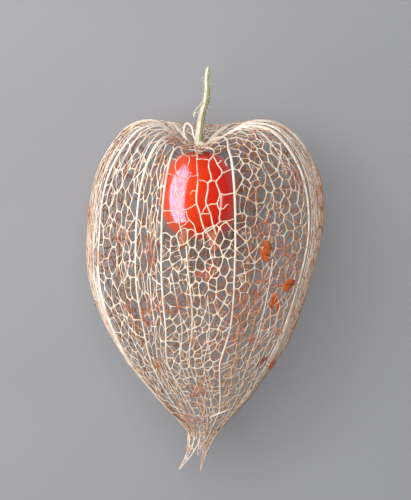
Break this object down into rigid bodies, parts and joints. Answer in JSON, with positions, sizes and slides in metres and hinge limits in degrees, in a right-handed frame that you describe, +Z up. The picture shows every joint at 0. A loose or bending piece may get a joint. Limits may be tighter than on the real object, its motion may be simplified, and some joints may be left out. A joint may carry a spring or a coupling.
{
  "type": "physalis berry in its skeletonised husk",
  "caption": "Round berry hanging inside a heart-shaped lantern of dry husk veins, with a thin dry stalk; lies on its side",
  "frame": {"origin": "on the surface that the lantern lies on, under the middle of its bounding box", "axes": "+Z up, +Y towards the stalk along the lantern, +X to the right seen from above with the stalk away from the viewer"},
  "size_m": [0.0448, 0.0766, 0.0419],
  "materials": {
    "berry_skin": "glossy taut fruit skin, orange on one side and red on the other",
    "dry_vein": "dry fibrous veins, cream with brown and orange stains",
    "dry_stalk": "dry fibrous stalk with peeled shreds"
  },
  "bodies": {
    "root": {"berry": "berry_skin", "calyx_skeleton": "dry_vein", "stalk": "dry_stalk"}
  },
  "joints": []
}
